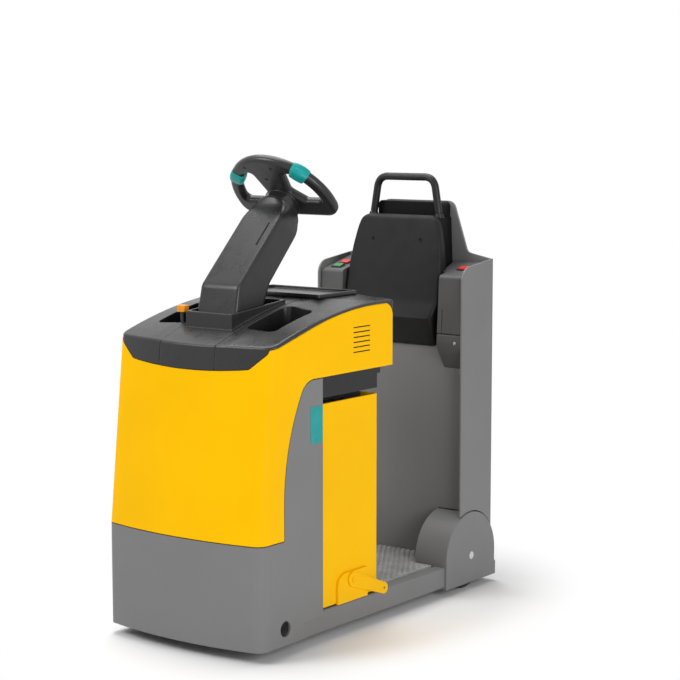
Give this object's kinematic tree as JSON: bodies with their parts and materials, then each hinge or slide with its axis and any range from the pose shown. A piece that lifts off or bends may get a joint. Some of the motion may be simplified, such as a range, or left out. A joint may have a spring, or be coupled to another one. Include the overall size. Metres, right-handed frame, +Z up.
{
  "type": "stand-on electric tow tractor",
  "caption": "Compact stand-on electric tow tractor with a steered front drive wheel, rounded hood with moulded console and steering wheel, open step, backrest and rear tow jaw.",
  "frame": {"origin": "middle of the bounding box on the ground", "axes": "-Y forward, +X the driver's left, +Z up"},
  "size_m": [0.6, 1.37, 1.4528],
  "materials": {
    "yellow_paint": "satin",
    "grey_paint": "satin",
    "dark_plastic": "fine grain",
    "casing_plastic": "fine grain",
    "teal_plastic": "satin",
    "pad_skin": "fine grain",
    "black_plastic": "fine grain",
    "black_paint": "gloss",
    "mat_rubber": "studded",
    "tyre_rubber": "matt",
    "hub_iron": "machined",
    "bright_steel": "turned",
    "coupling_paint": "painted black",
    "motor_paint": "satin",
    "red_plastic": "gloss",
    "green_plastic": "gloss",
    "orange_plastic": "gloss"
  },
  "bodies": {
    "chassis": {"back_wall": "grey_paint", "backrest_block": "black_plastic", "backrest_pad": "pad_skin", "battery": "black_paint", "battery_covers": "yellow_paint", "battery_tray": "grey_paint", "bulkhead": "grey_paint", "console_centre": "dark_plastic", "console_left": "dark_plastic", "console_right": "dark_plastic", "console_tray": "dark_plastic", "control_box": "black_paint", "coupling_pin": "bright_steel", "drive_bridge": "grey_paint", "floor_mat": "mat_rubber", "floor_plate": "grey_paint", "front_skirt": "grey_paint", "grab_handle": "black_paint", "green_switches": "green_plastic", "hood": "yellow_paint", "latch_arms": "yellow_paint", "latch_plates": "yellow_paint", "pillar_left": "casing_plastic", "pillar_right": "casing_plastic", "pillar_sides": "grey_paint", "rear_panel": "grey_paint", "red_switches": "red_plastic", "side_plate_left": "grey_paint", "side_plate_right": "grey_paint", "sills": "grey_paint", "steering_column": "dark_plastic", "stop_paddle": "orange_plastic", "stub_axles": "bright_steel", "tow_coupling": "coupling_paint", "wheel_arch_left": "grey_paint", "wheel_arch_right": "grey_paint"},
    "drive_unit": {"drive_gearbox": "hub_iron", "drive_motor": "motor_paint"},
    "drive_wheel": {"drive_tyre": "tyre_rubber", "drive_hub": "hub_iron"},
    "rear_wheel_left": {"rear_tyre_left": "tyre_rubber", "rear_hub_left": "hub_iron"},
    "rear_wheel_right": {"rear_tyre_right": "tyre_rubber", "rear_hub_right": "hub_iron"},
    "helm": {"steering_wheel": "dark_plastic", "steering_grips": "teal_plastic"}
  },
  "joints": [
    {"name": "drive_steer", "type": "hinge", "parent": "chassis", "child": "drive_unit", "pos_m": [0, -0.5, 0.296], "axis": [0, 0, 1], "range_deg": [-90, 90]},
    {"name": "drive_spin", "type": "hinge", "parent": "drive_unit", "child": "drive_wheel", "pos_m": [0, -0.5, 0.115], "axis": [1, 0, 0], "continuous": true},
    {"name": "rear_left_spin", "type": "hinge", "parent": "chassis", "child": "rear_wheel_left", "pos_m": [0.24, 0.456, 0.115], "axis": [1, 0, 0], "continuous": true},
    {"name": "rear_right_spin", "type": "hinge", "parent": "chassis", "child": "rear_wheel_right", "pos_m": [-0.24, 0.456, 0.115], "axis": [1, 0, 0], "continuous": true},
    {"name": "steering_wheel_turn", "type": "hinge", "parent": "chassis", "child": "helm", "pos_m": [0, -0.187, 1.282], "axis": [0, 0.7071, 0.7071], "range_deg": [-90, 90]}
  ],
  "couplings": [
    {"joint": "steering_wheel_turn", "follows": "drive_steer", "ratio": 1}
  ]
}
